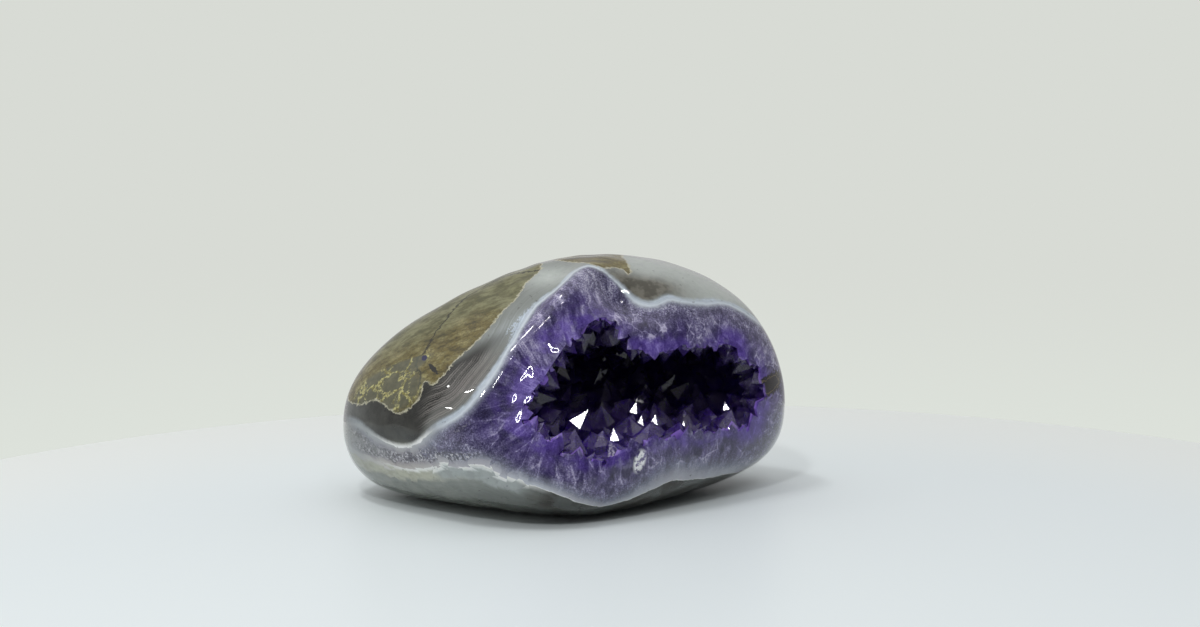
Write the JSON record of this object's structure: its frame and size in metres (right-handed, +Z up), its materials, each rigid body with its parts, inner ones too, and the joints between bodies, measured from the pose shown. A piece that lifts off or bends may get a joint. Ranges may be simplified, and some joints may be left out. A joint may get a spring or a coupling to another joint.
{
  "type": "polished amethyst geode",
  "caption": "Polished pebble of amethyst and agate, ground open to a hollow lined with crystals, resting on a flat base.",
  "frame": {"origin": "under the middle of the stone's box, on the surface that it rests on", "axes": "+Z up, +X along the stone's longest way, the open hollow looking towards -Y and round to +X"},
  "size_m": [0.1114, 0.0728, 0.0608],
  "materials": {
    "polished_stone": "polished agate and massive amethyst",
    "crystal_crust": "bright natural crystal faces, clear violet"
  },
  "bodies": {
    "root": {"polished_stone": "polished_stone", "crystal_crust": "crystal_crust"}
  },
  "joints": []
}
